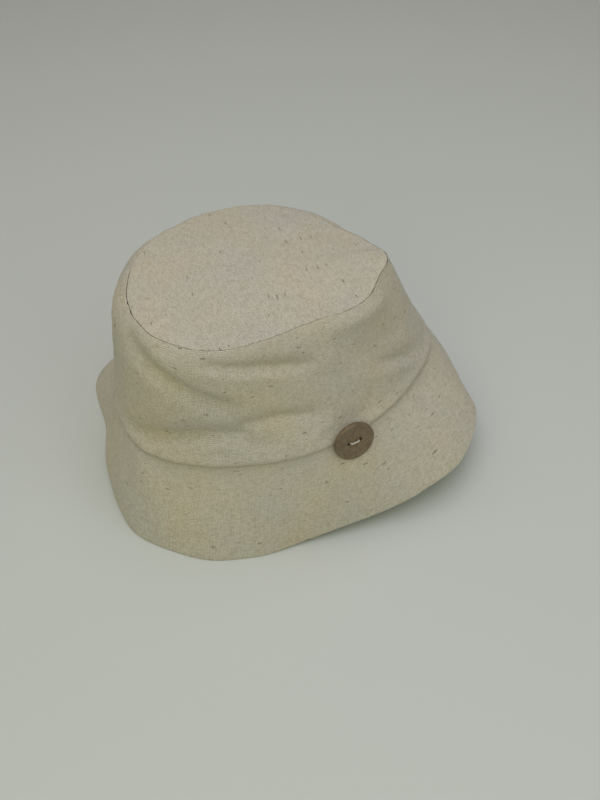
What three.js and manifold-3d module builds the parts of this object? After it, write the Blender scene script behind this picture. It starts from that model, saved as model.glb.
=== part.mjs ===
import * as THREE from 'three';
import { mergeVertices } from 'three/addons/utils/BufferGeometryUtils.js';
import Module from 'manifold-3d';

// A soft linen hat standing on its rim: an oval tip, a folded crown wall, a downturned brim and a button.
// Lengths are in millimetres and +Z is up. The front of the hat faces -Y, and the wearer's left is +X.
// An azimuth is in degrees: 0 at the front, 90 at the wearer's left, 180 at the back.

// Crown
const headLength = 200;
const headWidth = 156;
const seamHeight = 64;
const seamRise = 6;
const seamRiseAzimuth = 160;
const crownHeight = 72;
const tipLength = 138;
const tipWidth = 120;
const tipForwardOffset = 9;
const tipSideOffset = 4;
const tipDome = 3;
const shoulderBulge = 9;
const shoulderReach = 0.1;
const shoulderTaper = 1.5;
const shoulderGain = 1.5;
const seamRoll = 2.4;
const seamRollHeight = 6;
const foldDepth = 4;
const foldStart = 6;

// A shallow dent in the tip, beside its seam
const dentDepth = 1.6;
const dentWidth = 16;
const dentAzimuth = 118;
const dentOutShare = 0.78;
const dentEdgeFade = 8;

// Brim
const brimDepth = 62;
const brimBelly = 2;
const neckDrop = 5;

// Cloth, with the seam allowances that are turned inside
const tipCloth = 1.5;
const wallCloth = 1.7;
const brimCloth = 2.2;
const tipAllowance = 7;
const brimAllowance = 9;
const clearance = 0.3;

// Button
const buttonDiameter = 23.5;
const buttonThickness = 2.6;
const buttonEdgeRound = 0.5;
const buttonRimWidth = 2.2;
const buttonDish = 0.4;
const buttonAzimuth = 101;
const buttonFacing = 92;
const buttonTilt = 12;
const buttonTwist = 4;
const holeSpacing = 6.7;
const threadDiameter = 1.3;
const threadPlay = 0.5;

// How finely the pieces are divided
const columns = 72;
const wallRows = 12;
const tipRows = 4;
const brimRows = 8;
const allowanceRows = 2;
const buttonSides = 40;
const holeSides = 14;
const threadSides = 8;
const threadSteps = 18;
const seatSteps = 4;

// One row for each upright section round the hat. The lengths are shares: tipOut and seamOut of the tip's and
// the head's oval radius, tipUp of the crown's height, shoulder of the shoulder's bulge, and rimOut and rimUp
// of the brim's depth.
const sections = [
  { azimuth: 0, tipOut: 0.98, tipUp: 0, shoulder: 0.68, seamOut: 0.955, rimOut: 0.155, rimUp: 0.02 },
  { azimuth: 22, tipOut: 1.02, tipUp: 0, shoulder: 0.7, seamOut: 0.99, rimOut: 0.3, rimUp: 0 },
  { azimuth: 45, tipOut: 1.01, tipUp: 0, shoulder: 0.5, seamOut: 0.98, rimOut: 0.34, rimUp: 0 },
  { azimuth: 62, tipOut: 0.95, tipUp: 0, shoulder: 0.4, seamOut: 0.985, rimOut: 0.3, rimUp: 0 },
  { azimuth: 76, tipOut: 0.87, tipUp: -0.01, shoulder: 0.3, seamOut: 1, rimOut: 0.25, rimUp: 0.03 },
  { azimuth: 92, tipOut: 0.83, tipUp: -0.01, shoulder: 0.3, seamOut: 1, rimOut: 0.26, rimUp: 0.12 },
  { azimuth: 108, tipOut: 0.84, tipUp: -0.01, shoulder: 0.3, seamOut: 1, rimOut: 0.36, rimUp: 0.2 },
  { azimuth: 120, tipOut: 0.92, tipUp: 0, shoulder: 0.3, seamOut: 0.985, rimOut: 0.5, rimUp: 0.31 },
  { azimuth: 134, tipOut: 0.99, tipUp: 0.01, shoulder: 0.2, seamOut: 0.975, rimOut: 0.62, rimUp: 0.42 },
  { azimuth: 150, tipOut: 1, tipUp: 0.02, shoulder: 0.1, seamOut: 0.985, rimOut: 0.58, rimUp: 0.45 },
  { azimuth: 162, tipOut: 1.05, tipUp: 0.03, shoulder: 0, seamOut: 0.99, rimOut: 0.46, rimUp: 0.33 },
  { azimuth: 178, tipOut: 0.97, tipUp: -0.02, shoulder: 0.1, seamOut: 0.96, rimOut: 0.42, rimUp: 0.2 },
  { azimuth: 200, tipOut: 0.91, tipUp: -0.06, shoulder: 0.4, seamOut: 0.94, rimOut: 0.44, rimUp: 0.02 },
  { azimuth: 220, tipOut: 0.98, tipUp: -0.08, shoulder: 0.6, seamOut: 0.96, rimOut: 0.48, rimUp: 0 },
  { azimuth: 240, tipOut: 1.05, tipUp: -0.08, shoulder: 0.6, seamOut: 0.98, rimOut: 0.5, rimUp: 0 },
  { azimuth: 265, tipOut: 1.05, tipUp: -0.07, shoulder: 0.6, seamOut: 1, rimOut: 0.52, rimUp: 0 },
  { azimuth: 290, tipOut: 1.01, tipUp: -0.05, shoulder: 0.65, seamOut: 0.99, rimOut: 0.58, rimUp: 0 },
  { azimuth: 315, tipOut: 0.99, tipUp: -0.03, shoulder: 0.75, seamOut: 0.965, rimOut: 0.68, rimUp: 0 },
  { azimuth: 338, tipOut: 0.96, tipUp: -0.01, shoulder: 0.75, seamOut: 0.935, rimOut: 0.22, rimUp: 0.01 },
];

// One row for each fold in the crown wall, a line from one place to another. Its places down the wall, its
// bow and its width are shares of the crown's height, and its depth is a share of the fold depth. A valley
// is deeper than 0 and a ridge is less.
const folds = [
  { azimuth: 12, down: 0.9, toAzimuth: 62, toDown: 0.67, bow: -0.09, width: 0.065, depth: 0.8 },
  { azimuth: 56, down: 0.6, toAzimuth: 96, toDown: 0.7, bow: -0.05, width: 0.06, depth: 0.45 },
  { azimuth: 10, down: 0.93, toAzimuth: 98, toDown: 0.8, bow: 0, width: 0.09, depth: -0.5 },
  { azimuth: 8, down: 0.04, toAzimuth: 60, toDown: 0.4, bow: -0.03, width: 0.085, depth: 0.6 },
  { azimuth: 20, down: 0.02, toAzimuth: 58, toDown: 0.3, bow: 0.02, width: 0.06, depth: -0.3 },
  { azimuth: 44, down: 0.04, toAzimuth: 98, toDown: 0.22, bow: 0, width: 0.05, depth: 0.45 },
  { azimuth: 46, down: 0.11, toAzimuth: 84, toDown: 0.24, bow: 0, width: 0.045, depth: -0.2 },
  { azimuth: 108, down: 0.28, toAzimuth: 148, toDown: 0.46, bow: 0, width: 0.16, depth: 0.6 },
  { azimuth: 122, down: 0.52, toAzimuth: 152, toDown: 0.84, bow: 0, width: 0.06, depth: 0.6 },
  { azimuth: 124, down: 0.64, toAzimuth: 148, toDown: 0.94, bow: 0, width: 0.05, depth: -0.25 },
  { azimuth: 108, down: 0.06, toAzimuth: 146, toDown: 0.12, bow: 0, width: 0.07, depth: -0.5 },
  { azimuth: 196, down: 0.72, toAzimuth: 262, toDown: 0.8, bow: 0, width: 0.1, depth: 0.6 },
  { azimuth: 276, down: 0.3, toAzimuth: 338, toDown: 0.66, bow: 0.04, width: 0.11, depth: 0.5 },
];

const wasm = await Module();
wasm.setup();

const radians = THREE.MathUtils.degToRad;
const up = new THREE.Vector3(0, 0, 1);
const azimuths = Array.from({ length: columns }, (_, column) => (360 * column) / columns);

function outward(azimuth) {
  return new THREE.Vector3(Math.sin(radians(azimuth)), -Math.cos(radians(azimuth)), 0);
}

function ovalRadius(length, width, azimuth) {
  const along = Math.cos(radians(azimuth)) / (length / 2);
  const across = Math.sin(radians(azimuth)) / (width / 2);
  return 1 / Math.hypot(along, across);
}

// A smooth closed curve through one column of the section table
function around(column, azimuth) {
  const index = sections.findLastIndex((row) => row.azimuth <= azimuth);
  const [before, from, to, after] = [-1, 0, 1, 2].map((step) => {
    const turns = Math.floor((index + step) / sections.length);
    const row = sections[index + step - turns * sections.length];
    return { azimuth: row.azimuth + 360 * turns, share: row[column] };
  });
  const span = to.azimuth - from.azimuth;
  const slopeFrom = (to.share - before.share) / (to.azimuth - before.azimuth);
  const slopeTo = (after.share - from.share) / (after.azimuth - from.azimuth);
  const way = (azimuth - from.azimuth) / span;
  const rise = way * way * (3 - 2 * way);
  const leave = way * (1 - way) ** 2 * span * slopeFrom;
  const arrive = way * way * (way - 1) * span * slopeTo;
  return from.share + (to.share - from.share) * rise + leave + arrive;
}

// The three lines that the cloth runs through
function tipSeam(azimuth) {
  const reach = ovalRadius(tipLength, tipWidth, azimuth) * around('tipOut', azimuth);
  const height = seamHeight + crownHeight * (1 + around('tipUp', azimuth));
  const middle = new THREE.Vector3(tipSideOffset, -tipForwardOffset, height);
  return outward(azimuth).multiplyScalar(reach).add(middle);
}

function brimSeam(azimuth) {
  const height = seamHeight + seamRise * Math.cos(radians(azimuth - seamRiseAzimuth));
  const reach = ovalRadius(headLength, headWidth, azimuth) * around('seamOut', azimuth);
  return outward(azimuth).multiplyScalar(reach).setZ(height);
}

// The rim lies on the surface where its section says 0.
function rimEdge(azimuth) {
  const reach = ovalRadius(headLength, headWidth, azimuth) + brimDepth * around('rimOut', azimuth);
  const height = Math.max(brimDepth * around('rimUp', azimuth), 0);
  return outward(azimuth).multiplyScalar(reach).setZ(height);
}

// How deep the folds press into the crown wall at one place on it
function foldDepthAt(azimuth, down) {
  const lengthOfDegree = (Math.PI * (headLength + headWidth)) / 2 / 360;
  let depth = 0;
  for (const fold of folds) {
    const turn = ((azimuth - fold.azimuth + 540) % 360) - 180;
    const place = new THREE.Vector2(turn * lengthOfDegree, (down - fold.down) * crownHeight);
    const line = new THREE.Vector2(
      (fold.toAzimuth - fold.azimuth) * lengthOfDegree,
      (fold.toDown - fold.down) * crownHeight,
    );
    const along = place.dot(line) / line.lengthSq();
    if (along <= 0 || along >= 1) continue;
    const fade = Math.sin(Math.PI * along);
    const aside = line.cross(place) / line.length() - fold.bow * crownHeight * fade;
    const press = Math.exp(-((aside / (fold.width * crownHeight)) ** 2));
    depth += fold.depth * foldDepth * Math.sqrt(fade) * press;
  }
  return depth;
}

// The crown wall's outer face, at a share of the way down from the tip seam to the brim seam
function wallPoint(azimuth, down) {
  const top = tipSeam(azimuth);
  const chord = brimSeam(azimuth).sub(top);
  const proud = outward(azimuth).multiplyScalar(-chord.z).setZ(Math.hypot(chord.x, chord.y)).normalize();
  const swell = (1 - Math.exp(-down / shoulderReach)) * (1 - down) ** shoulderTaper;
  const shoulder = shoulderGain * shoulderBulge * around('shoulder', azimuth) * swell;
  const roll = seamRoll * Math.exp(-((((1 - down) * chord.length()) / seamRollHeight) ** 2));
  const fold = foldDepthAt(azimuth, down) * Math.min(1, (down * crownHeight) / foldStart);
  return top.addScaledVector(chord, down).addScaledVector(proud, shoulder + roll - fold);
}

// The outward facing of each point of a face, lengthened at a bend so that a cloth keeps its thickness there
function facings(rows) {
  const facing = (upper, lower, column) => {
    const before = (column + columns - 1) % columns;
    const after = (column + 1) % columns;
    const across = rows[upper][after].clone().sub(rows[upper][before]);
    across.add(rows[lower][after]).sub(rows[lower][before]);
    return rows[lower][column].clone().sub(rows[upper][column]).cross(across).normalize();
  };
  return rows.map((row, index) => row.map((_, column) => {
    const above = facing(Math.max(index - 1, 0), Math.max(index, 1), column);
    const below = facing(Math.min(index, rows.length - 2), Math.min(index + 1, rows.length - 1), column);
    return above.clone().add(below).divideScalar(1 + above.dot(below));
  }));
}

// The same rows of points, moved into the hat by one depth
function inside(rows, facing, depth) {
  return rows.map((row, index) => row.map((point, column) => (
    point.clone().addScaledVector(facing[index][column], -depth)
  )));
}

// A plain mesh with shared corners, without the flat slivers that a pole leaves
function joined(geometry) {
  const bare = geometry.clone();
  bare.deleteAttribute('normal');
  bare.deleteAttribute('uv');
  const merged = mergeVertices(bare);
  const corners = merged.index.array;
  const kept = [];
  for (let first = 0; first < corners.length; first += 3) {
    const [a, b, c] = corners.slice(first, first + 3);
    if (a !== b && b !== c && c !== a) kept.push(a, b, c);
  }
  merged.setIndex(kept);
  return merged;
}

// A closed cloth between its outer and its inner face, each a list of rows that run down it
function clothBetween(outer, inner) {
  const points = [...outer.flat(), ...inner.flat()];
  const corner = (face, row, column) => (face * outer.length + row) * columns + (column % columns);
  const corners = [];
  const quad = (a, b, c, d) => corners.push(a, b, c, a, c, d);
  const end = outer.length - 1;
  for (let column = 0; column < columns; column += 1) {
    const next = column + 1;
    for (let row = 0; row < end; row += 1) {
      const below = row + 1;
      quad(corner(0, row, column), corner(0, below, column), corner(0, below, next), corner(0, row, next));
      quad(corner(1, row, column), corner(1, row, next), corner(1, below, next), corner(1, below, column));
    }
    quad(corner(0, 0, column), corner(0, 0, next), corner(1, 0, next), corner(1, 0, column));
    quad(corner(0, end, column), corner(1, end, column), corner(1, end, next), corner(0, end, next));
  }
  const geometry = new THREE.BufferGeometry().setFromPoints(points);
  geometry.setIndex(corners);
  return joined(geometry);
}

// The crown wall: its edge turned down inside the tip seam, then its face down to the brim seam
function wallFaces() {
  const lap = brimAllowance / crownHeight;
  const shares = [];
  for (let row = 0; row < wallRows; row += 1) shares.push(((1 - lap) * row) / wallRows);
  for (let row = 0; row <= allowanceRows; row += 1) shares.push(1 - lap * (1 - row / allowanceRows));
  const turnedDown = azimuths.map((azimuth) => tipSeam(azimuth).addScaledVector(up, -tipAllowance));
  const outer = [turnedDown, ...shares.map((share) => azimuths.map((azimuth) => wallPoint(azimuth, share)))];
  const facing = facings(outer);
  return { outer, facing, inner: inside(outer, facing, wallCloth) };
}

// The tip: a low dome with a dent, out to its seam, and its edge turned down beside the wall's edge
function tipFaces() {
  const level = azimuths.map((azimuth, column) => {
    const before = tipSeam(azimuths[(column + columns - 1) % columns]);
    return tipSeam(azimuths[(column + 1) % columns]).sub(before).cross(up).normalize();
  });
  const edge = azimuths.map((azimuth, column) => tipSeam(azimuth).addScaledVector(level[column], -clearance));
  const meanHeight = edge.reduce((sum, point) => sum + point.z, 0) / columns;
  const centre = new THREE.Vector3(tipSideOffset, -tipForwardOffset, meanHeight + tipDome);
  const dentReach = ovalRadius(tipLength, tipWidth, dentAzimuth) * dentOutShare;
  const dent = outward(dentAzimuth).multiplyScalar(dentReach).add(centre);
  const place = (share) => edge.map((point) => {
    const spot = centre.clone().lerp(point, share);
    const dome = centre.z + (point.z - centre.z) * share ** 2;
    const near = Math.hypot(spot.x - dent.x, spot.y - dent.y) / dentWidth;
    return spot.setZ(dome - dentDepth * Math.exp(-(near ** 2)) * (1 - share ** dentEdgeFade));
  });
  const outer = Array.from({ length: tipRows + 1 }, (_, row) => place(row / tipRows));
  const inner = outer.map((row) => row.map((point) => point.clone().addScaledVector(up, -tipCloth)));
  inner[tipRows].forEach((point, column) => point.addScaledVector(level[column], -tipCloth));
  const turnedDown = edge.map((point) => point.clone().addScaledVector(up, -tipAllowance));
  outer.push(turnedDown);
  inner.push(turnedDown.map((point, column) => point.clone().addScaledVector(level[column], -tipCloth)));
  return { outer, inner };
}

// The brim: its upper edge lapped inside the wall's lower edge, then a flare down to the rim
function brimFaces(wall) {
  const neck = inside(wall.outer, wall.facing, wallCloth + clearance).slice(-allowanceRows - 1);
  const flare = neck[allowanceRows].map((top, column) => {
    const azimuth = azimuths[column];
    const rim = rimEdge(azimuth);
    const fall = top.clone().sub(neck[0][column]).normalize();
    const drop = top.clone().addScaledVector(fall, neckDrop);
    const belly = drop.clone().lerp(rim, 0.5).addScaledVector(outward(azimuth), 2 * brimBelly);
    return new THREE.CubicBezierCurve3(top, drop, belly, rim);
  });
  const face = (share) => flare.map((curve) => curve.getPoint(share));
  const outer = [...neck];
  for (let row = 1; row <= brimRows; row += 1) outer.push(face(row / brimRows));
  const inner = inside(outer, facings(outer), brimCloth);
  inner[inner.length - 1].forEach((point) => point.setZ(Math.max(point.z, 0)));
  return { outer, inner };
}

// A solid that can be cut, and the mesh of one
function solidOf(geometry) {
  const mesh = joined(geometry);
  return new wasm.Manifold(new wasm.Mesh({
    numProp: 3,
    vertProperties: new Float32Array(mesh.attributes.position.array),
    triVerts: new Uint32Array(mesh.index.array),
  }));
}

function geometryOf(solid) {
  const mesh = solid.getMesh();
  const geometry = new THREE.BufferGeometry();
  geometry.setAttribute('position', new THREE.BufferAttribute(mesh.vertProperties, mesh.numProp));
  geometry.setIndex(new THREE.BufferAttribute(mesh.triVerts, 1));
  return geometry;
}

// The button lies face up on its own +Z side, with its holes along its X axis.
function buttonGeometry() {
  const radius = buttonDiameter / 2;
  const dishRadius = radius - buttonRimWidth;
  const face = buttonThickness - buttonDish;
  const profile = [
    [0, 0],
    [radius - buttonEdgeRound, 0],
    [radius, buttonEdgeRound],
    [radius, buttonThickness - buttonEdgeRound],
    [radius - buttonEdgeRound, buttonThickness],
    [dishRadius, buttonThickness],
    [dishRadius - buttonDish, face],
    [0, face],
  ].map(([across, height]) => new THREE.Vector2(across, height));
  const disc = new THREE.LatheGeometry(profile, buttonSides).rotateX(Math.PI / 2);
  const holeRadius = threadDiameter / 2 + threadPlay;
  let button = solidOf(disc);
  for (const side of [-1, 1]) {
    const hole = new THREE.CylinderGeometry(holeRadius, holeRadius, 4 * buttonThickness, holeSides);
    hole.rotateX(Math.PI / 2).translate((side * holeSpacing) / 2, 0, 0);
    button = button.subtract(solidOf(hole));
  }
  return geometryOf(button);
}

// The thread comes up through one hole, crosses the button's face and goes down through the other.
function threadGeometry() {
  const side = holeSpacing / 2;
  const crossing = buttonThickness - buttonDish + clearance + threadDiameter / 2;
  const bend = threadDiameter;
  const path = new THREE.CurvePath();
  const place = (across, height) => new THREE.Vector3(across, 0, height);
  path.add(new THREE.LineCurve3(place(-side, 0), place(-side, crossing - bend)));
  path.add(new THREE.QuadraticBezierCurve3(
    place(-side, crossing - bend),
    place(-side, crossing),
    place(bend - side, crossing),
  ));
  path.add(new THREE.LineCurve3(place(bend - side, crossing), place(side - bend, crossing)));
  path.add(new THREE.QuadraticBezierCurve3(
    place(side - bend, crossing),
    place(side, crossing),
    place(side, crossing - bend),
  ));
  path.add(new THREE.LineCurve3(place(side, crossing - bend), place(side, 0)));
  const section = new THREE.Shape();
  for (let corner = 0; corner < threadSides; corner += 1) {
    const angle = (2 * Math.PI * corner) / threadSides;
    const spot = [(Math.cos(angle) * threadDiameter) / 2, (Math.sin(angle) * threadDiameter) / 2];
    if (corner === 0) section.moveTo(...spot);
    else section.lineTo(...spot);
  }
  const strand = new THREE.ExtrudeGeometry(section, { steps: threadSteps, extrudePath: path });
  return joined(strand);
}

// Points spread over a face, closer together than its corners
function spread(rows) {
  const points = [];
  for (let row = 1; row < rows.length; row += 1) {
    for (let column = 0; column < columns; column += 1) {
      const next = (column + 1) % columns;
      for (let part = 0; part < seatSteps ** 2; part += 1) {
        const across = (part % seatSteps) / seatSteps;
        const down = Math.floor(part / seatSteps) / seatSteps;
        const upper = rows[row - 1][column].clone().lerp(rows[row - 1][next], across);
        points.push(upper.lerp(rows[row][column].clone().lerp(rows[row][next], across), down));
      }
    }
  }
  return points;
}

// The button sits a clearance off the cloth that stands proudest under it.
function placeButton(pieces, faces) {
  const facing = outward(buttonFacing).multiplyScalar(Math.cos(radians(buttonTilt)));
  facing.addScaledVector(up, Math.sin(radians(buttonTilt)));
  const right = outward(buttonFacing + 90);
  const anchor = brimSeam(buttonAzimuth);
  let stand = 0;
  for (const point of faces.flatMap(spread)) {
    const offset = point.clone().sub(anchor);
    const height = offset.dot(facing);
    const aside = Math.sqrt(Math.max(offset.lengthSq() - height ** 2, 0));
    if (aside < buttonDiameter / 2) stand = Math.max(stand, height);
  }
  const turn = new THREE.Matrix4().makeBasis(right, facing.clone().cross(right), facing);
  const seat = new THREE.Group();
  seat.position.copy(anchor).addScaledVector(facing, stand + clearance);
  seat.quaternion.setFromRotationMatrix(turn);
  seat.rotateZ(radians(buttonTwist));
  seat.add(...pieces);
  return seat;
}

function mesh(name, geometry, material) {
  const piece = new THREE.Mesh(geometry, material);
  piece.name = name;
  return piece;
}

const linen = new THREE.MeshStandardMaterial({ color: 0xc9c2a6, roughness: 0.95 });
const coconut = new THREE.MeshStandardMaterial({ color: 0x6b5c46, roughness: 0.6 });
const threadWhite = new THREE.MeshStandardMaterial({ color: 0xe6e0d0, roughness: 0.9 });

const wall = wallFaces();
const tip = tipFaces();
const brim = brimFaces(wall);
const crownTip = mesh('crown_tip', clothBetween(tip.outer, tip.inner), linen);
const crownWall = mesh('crown_wall', clothBetween(wall.outer, wall.inner), linen);
const hatBrim = mesh('brim', clothBetween(brim.outer, brim.inner), linen);
const button = mesh('button', buttonGeometry(), coconut);
const thread = mesh('button_thread', threadGeometry(), threadWhite);

// The hat stands over the middle of its own footprint.
const hat = new THREE.Group();
hat.add(crownTip, crownWall, hatBrim, placeButton([button, thread], [wall.outer, brim.outer]));
const footprint = new THREE.Box3().setFromObject(hat).getCenter(new THREE.Vector3());
hat.position.set(-footprint.x, -footprint.y, 0);

export default hat;
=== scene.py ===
import math

import bpy
import numpy as np
from mathutils import Matrix, Vector


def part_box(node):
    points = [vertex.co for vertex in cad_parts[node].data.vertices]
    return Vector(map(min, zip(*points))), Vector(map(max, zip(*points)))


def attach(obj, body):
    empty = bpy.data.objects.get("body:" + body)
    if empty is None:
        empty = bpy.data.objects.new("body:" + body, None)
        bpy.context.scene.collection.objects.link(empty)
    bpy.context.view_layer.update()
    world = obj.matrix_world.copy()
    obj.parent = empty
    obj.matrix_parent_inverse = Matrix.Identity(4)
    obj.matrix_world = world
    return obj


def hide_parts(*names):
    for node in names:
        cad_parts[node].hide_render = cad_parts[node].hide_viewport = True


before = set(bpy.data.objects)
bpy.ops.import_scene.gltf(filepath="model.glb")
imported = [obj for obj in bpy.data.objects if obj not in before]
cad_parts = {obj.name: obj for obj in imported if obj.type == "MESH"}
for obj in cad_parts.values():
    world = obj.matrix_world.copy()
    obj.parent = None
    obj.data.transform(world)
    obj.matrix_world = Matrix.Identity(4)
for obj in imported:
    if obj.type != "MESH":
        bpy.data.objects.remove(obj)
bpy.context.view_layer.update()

# A soft linen hat standing on its rim: an oval tip, a folded crown wall, a downturned brim and a side button.
# Lengths are in metres and +Z is up. The front of the hat faces -Y, and the wearer's left is +X.
# An azimuth is in degrees: 0 at the front, 90 at the wearer's left, 180 at the back.

# The middle of the brim seam's oval, from the middle of the hat's footprint
SEAM_MIDDLE = (0.006527, -0.007732, 0.0)

# Crown
HEAD_LENGTH = 0.2
HEAD_WIDTH = 0.156
SEAM_HEIGHT = 0.064
SEAM_RISE = 0.006
SEAM_RISE_AZIMUTH = 160
SEAM_SAG = 0.0035
SEAM_SAG_AZIMUTH = 165
SEAM_SAG_SPREAD = 16
CROWN_HEIGHT = 0.072
TIP_LENGTH = 0.138
TIP_WIDTH = 0.12
TIP_FORWARD = 0.009
TIP_SIDE = 0.004
TIP_DOME = 0.003
SHOULDER_BULGE = 0.009
SHOULDER_REACH = 0.1
SHOULDER_TAPER = 1.5
SHOULDER_GAIN = 1.5
SEAM_ROLL = 0.0024
SEAM_ROLL_HEIGHT = 0.006
WALL_THINNING = (0.35, 0.3, 0.35, 0.55, 1, 1, 0.75, 0.25)
ROLL_SHARES = ((0, 8, 24, 300, 340, 360), (0.25, 0.35, 1, 1, 0.25, 0.25))
FOLD_DEPTH = 0.004
FOLD_START = 0.006

# Brim
BRIM_DEPTH = 0.062
BRIM_BELLY = 0.002
NECK_DROP = 0.005
BRIM_EASE = 0.015

# Cloth, with the seam allowances that are turned inside
TIP_CLOTH = 0.0015
WALL_CLOTH = 0.0017
BRIM_CLOTH = 0.0022
TIP_ALLOWANCE = 0.007
BRIM_ALLOWANCE = 0.009
CLEARANCE = 0.0003

# A shallow dent in the tip, beside its seam
DENT_DEPTH = 0.0016
DENT_WIDTH = 0.016
DENT_AZIMUTH = 118
DENT_OUT = 0.78
DENT_EDGE_FADE = 8

# Faint creases in the tip: start, end (from the seam oval's middle), width, depth
TIP_CREASES = (
    ((0.028, 0.012), (0.05, -0.006), 0.0022, 0.0004),
    ((0.02, 0.02), (0.046, 0.024), 0.003, 0.0003),
)

# The grain of the cloth: the tip's turn in degrees, and the lengths that the wall's and brim's maps wrap at
TIP_GRAIN_TURN = -6.4
WALL_GIRTH = math.pi * (HEAD_LENGTH + HEAD_WIDTH) / 2
BRIM_GIRTH = 1.15 * WALL_GIRTH

# Fine relief of stitched cloth
PUCKER = 0.00022
PUCKER_FADE = 0.006
SEAM_WAVER = 0.00025
UNEVENNESS = 0.0004
BRIM_UNEVENNESS = 0.0006
RIM_WAVER = 0.0006
BACK_SEAM_AZIMUTH = 180
BACK_SEAM_DEPTH = 0.0005
BACK_SEAM_WIDTH = 0.0014
RIPPLE_WAVES = 16
WAVE_PEAK = 1.4
PUCKER_COUNTS = (43, 52, 61, 74)
# Round the back the tip's edge is drawn close to the wall.
TIP_DRAW = 0.00025
TIP_DRAW_FROM = 195
TIP_DRAW_TO = 342

# Button
BUTTON_DIAMETER = 0.0235
BUTTON_THICKNESS = 0.0026
BUTTON_RIM_WIDTH = 0.0022
BUTTON_DISH = 0.0004
BUTTON_FACING = 92
BUTTON_TILT = 12
BUTTON_TWIST = 4
HOLE_SPACING = 0.0067
HOLE_DIAMETER = 0.0026
BUTTON_SIDES = 96
HOLE_SIDES = 32
EDGE_ROUND = 0.0006
DISH_ROUND = 0.0003
HOLE_ROUND = 0.00018
RING_HEIGHT_MATCH = 0.00002
RING_RADIUS_MATCH = 0.00005
THREAD_DIAMETER = 0.001
THREAD_INSET = 0.001
THREAD_BEND = 0.0006
THREAD_TWIST = 0.0026
THREAD_STEPS = 90
THREAD_END_HEIGHT = 0.0002
STRANDS = 3
STRAND_SIDES = 12
STRAND_RADII_ACROSS = 4.3
STRAND_SPREAD = 1.1

# How finely the cloth is divided before its last smoothing
COLUMNS = 264
TIP_GRID = 20
NECK_ROWS = 4
WALL_SHARES = np.concatenate([[0, 0.008, 0.03], np.linspace(0.07, 0.955, 31), [0.98, 1]])
TIP_SHARES = np.concatenate([np.linspace(0, 0.955, 24), [0.99, 1]])
FLARE_SHARES = np.concatenate([np.linspace(0, 0.955, 26), [0.985, 1]])
EDGE_DROPS = np.array([0.007, 0.0036, 0.0014, 0.0005])

# azimuth, tip out, tip up, shoulder, seam out, rim out, rim up
SECTIONS = (
    (0, 0.98, 0, 0.68, 0.955, 0.155, 0.02),
    (22, 1.02, 0, 0.7, 0.99, 0.3, 0),
    (45, 1.01, 0, 0.5, 0.98, 0.34, 0),
    (62, 0.95, 0, 0.4, 0.985, 0.3, 0),
    (76, 0.87, -0.01, 0.3, 1, 0.25, 0.03),
    (92, 0.83, -0.01, 0.3, 1, 0.26, 0.12),
    (108, 0.84, -0.01, 0.3, 1, 0.36, 0.2),
    (120, 0.92, 0, 0.3, 0.985, 0.5, 0.31),
    (134, 0.99, 0.01, 0.2, 0.975, 0.62, 0.42),
    (150, 1, 0.02, 0.1, 0.985, 0.58, 0.45),
    (162, 1.05, 0.03, 0, 0.99, 0.46, 0.33),
    (178, 0.97, -0.02, 0.1, 0.96, 0.42, 0.2),
    (200, 0.91, -0.06, 0.4, 0.94, 0.44, 0.02),
    (220, 0.98, -0.08, 0.6, 0.96, 0.48, 0),
    (240, 1.05, -0.08, 0.6, 0.98, 0.5, 0),
    (265, 1.05, -0.07, 0.6, 1, 0.52, 0),
    (290, 1.01, -0.05, 0.65, 0.99, 0.58, 0),
    (315, 0.99, -0.03, 0.75, 0.965, 0.68, 0),
    (338, 0.96, -0.01, 0.75, 0.935, 0.22, 0.01),
)
TIP_OUT, TIP_UP, SHOULDER, SEAM_OUT, RIM_OUT, RIM_UP = range(1, 7)

# Finer creases beside the folds, in the same columns
CREASES = (
    (14, 0.92, 60, 0.73, -0.07, 0.035, 0.5),
    (18, 0.97, 60, 0.83, -0.05, 0.035, -0.25),
    (56, 0.64, 92, 0.71, -0.04, 0.03, 0.4),
    (10, 0.1, 56, 0.47, -0.02, 0.05, 0.4),
    (46, 0.09, 96, 0.29, 0, 0.024, 0.45),
    (22, 0.86, 58, 0.73, -0.06, 0.018, 0.2),
    (58, 0.64, 82, 0.67, -0.03, 0.016, 0.16),
    (58, 0.2, 84, 0.28, 0, 0.02, -0.08),
    (30, 0.25, 50, 0.44, -0.02, 0.03, 0.12),
    (126, 0.54, 146, 0.8, 0, 0.022, 0.14),
    (84, 0.88, 96, 0.82, 0, 0.03, -0.2),
    (112, 0.86, 122, 0.72, 0, 0.03, 0.14),
)

# azimuth, down, to azimuth, to down, bow, width, depth
FOLDS = (
    (12, 0.93, 62, 0.7, -0.07, 0.085, 1.15),
    (56, 0.64, 96, 0.73, -0.05, 0.07, 0.6),
    (10, 0.99, 98, 0.86, 0, 0.08, -0.4),
    (8, 0.08, 60, 0.5, -0.02, 0.1, 0.9),
    (24, 0.1, 60, 0.38, 0.02, 0.06, -0.35),
    (44, 0.08, 98, 0.3, 0, 0.055, 0.7),
    (46, 0.15, 84, 0.31, 0, 0.045, -0.2),
    (108, 0.28, 148, 0.46, 0, 0.16, 0.6),
    (122, 0.52, 152, 0.84, 0, 0.06, 0.5),
    (124, 0.64, 148, 0.94, 0, 0.05, -0.25),
    (108, 0.06, 146, 0.12, 0, 0.07, -0.5),
    (196, 0.72, 262, 0.8, 0, 0.1, 0.6),
    (276, 0.3, 338, 0.66, 0.04, 0.11, 0.5),
)


def outward(azimuth):
    turn = np.radians(azimuth)
    return np.stack([np.sin(turn), -np.cos(turn), np.zeros_like(turn)], axis=-1)


def oval_radius(length, width, azimuth):
    turn = np.radians(azimuth)
    return 1 / np.hypot(np.cos(turn) / (length / 2), np.sin(turn) / (width / 2))


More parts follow.
